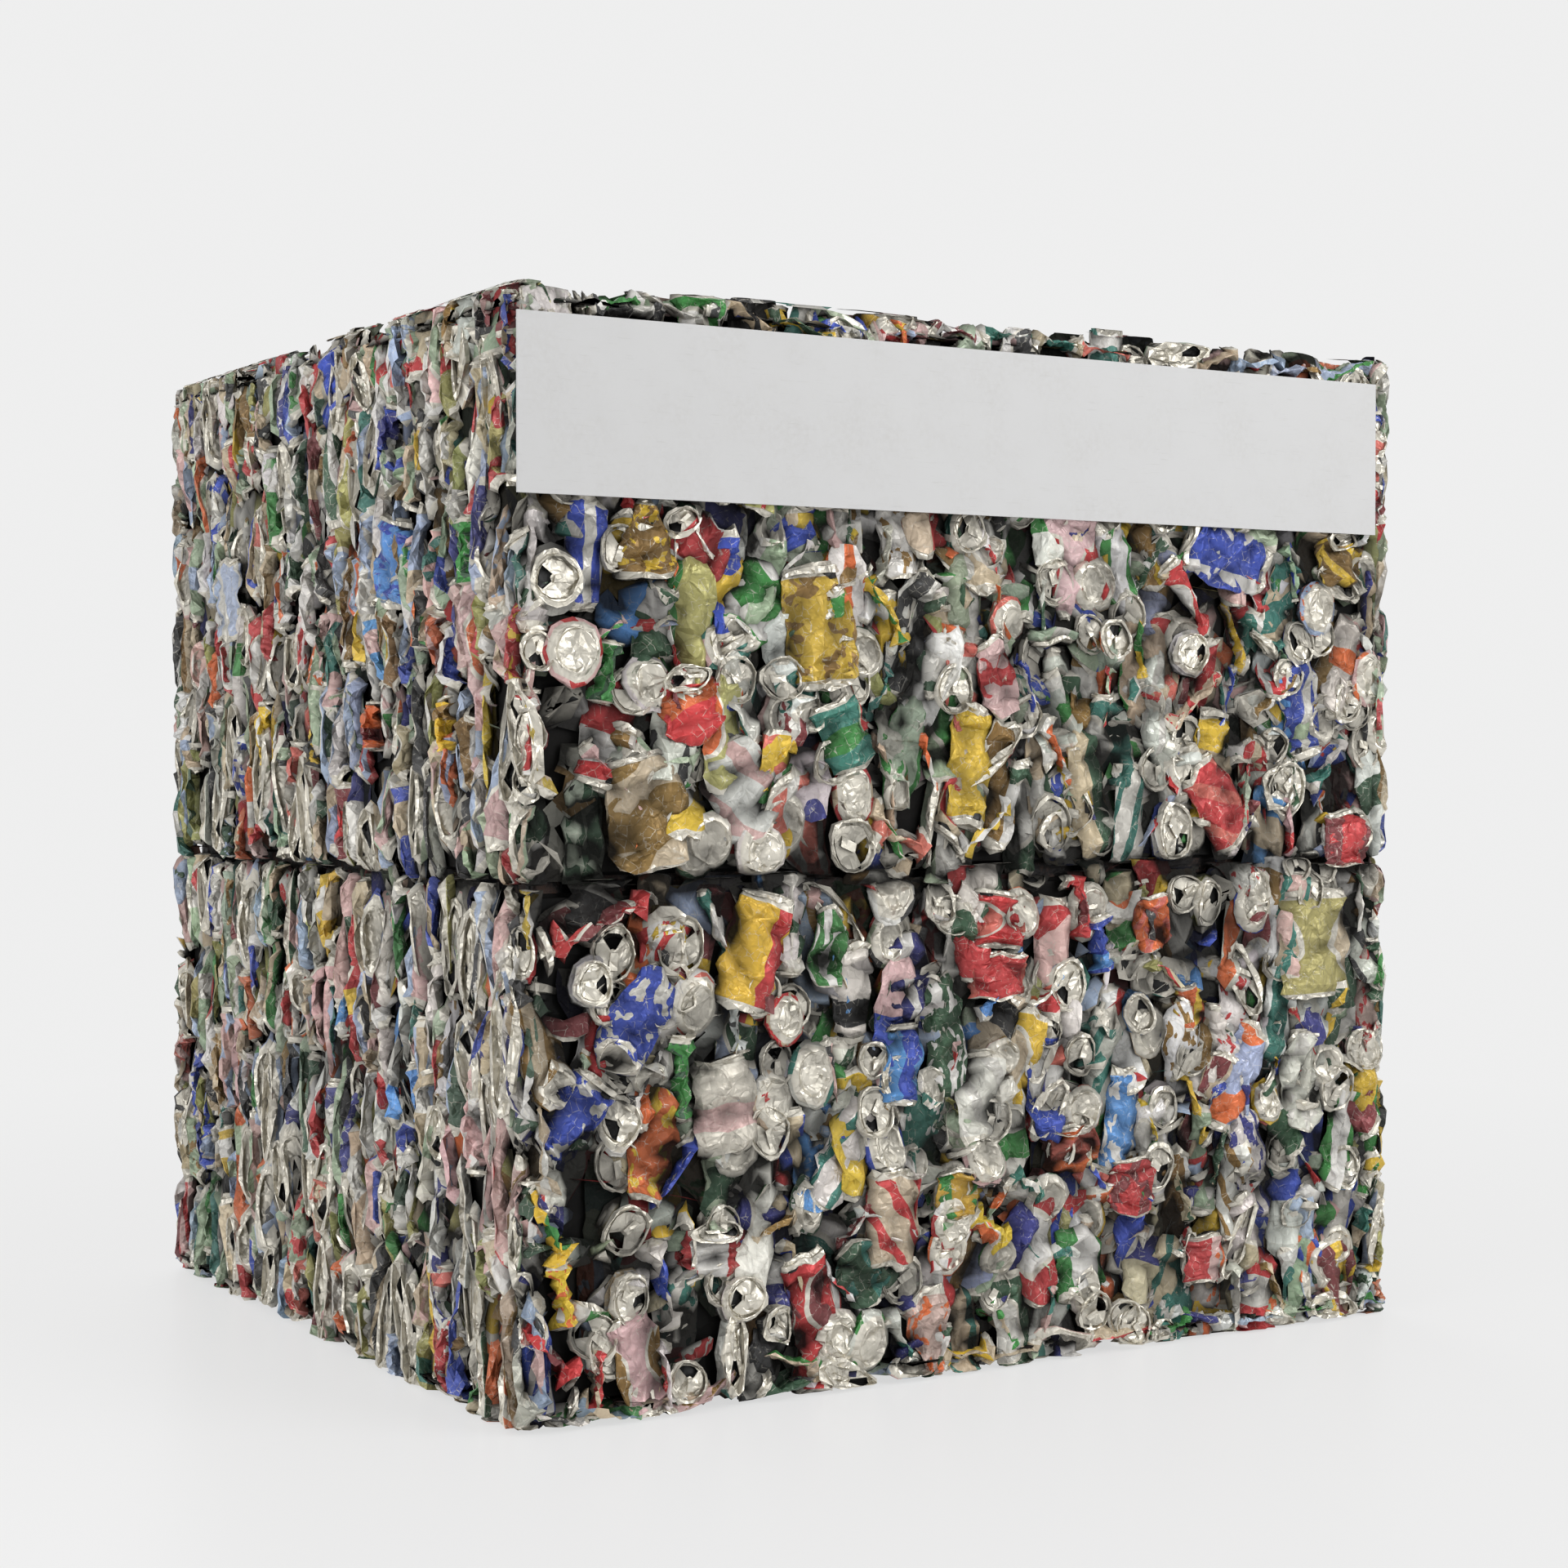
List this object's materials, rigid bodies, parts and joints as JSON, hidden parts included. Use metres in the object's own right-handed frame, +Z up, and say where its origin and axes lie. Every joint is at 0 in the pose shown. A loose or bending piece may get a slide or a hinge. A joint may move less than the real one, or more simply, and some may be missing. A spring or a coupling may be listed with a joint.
{
  "type": "crushed can bale",
  "caption": "Near-cubic bale of crushed aluminium drink cans, strapped round its waist, with a blank board across the top of its front.",
  "frame": {"origin": "middle of the footprint, on the floor", "axes": "+Z up; the face with the board is the front and faces -Y; +X runs to the right across the front"},
  "size_m": [1.13, 1.008, 1.1],
  "materials": {
    "crushed_cans": "crumpled thin sheet, part bare and dulled, part with worn coloured print",
    "packed_cans": "packed crumpled sheet in deep shade",
    "strap_steel": "blackened steel band with rust at its edges",
    "blank_board": "white, blank, matt, lightly soiled"
  },
  "bodies": {
    "root": {"core": "packed_cans", "front_cans_lower": "crushed_cans", "front_cans_upper": "crushed_cans", "back_cans_lower": "crushed_cans", "back_cans_upper": "crushed_cans", "left_cans_lower": "crushed_cans", "left_cans_upper": "crushed_cans", "right_cans_lower": "crushed_cans", "right_cans_upper": "crushed_cans", "corner_cans_lower": "crushed_cans", "corner_cans_upper": "crushed_cans", "top_cans": "crushed_cans", "bottom_cans": "crushed_cans", "strap": "strap_steel", "strap_seal": "strap_steel", "label_board": "blank_board"}
  },
  "joints": []
}
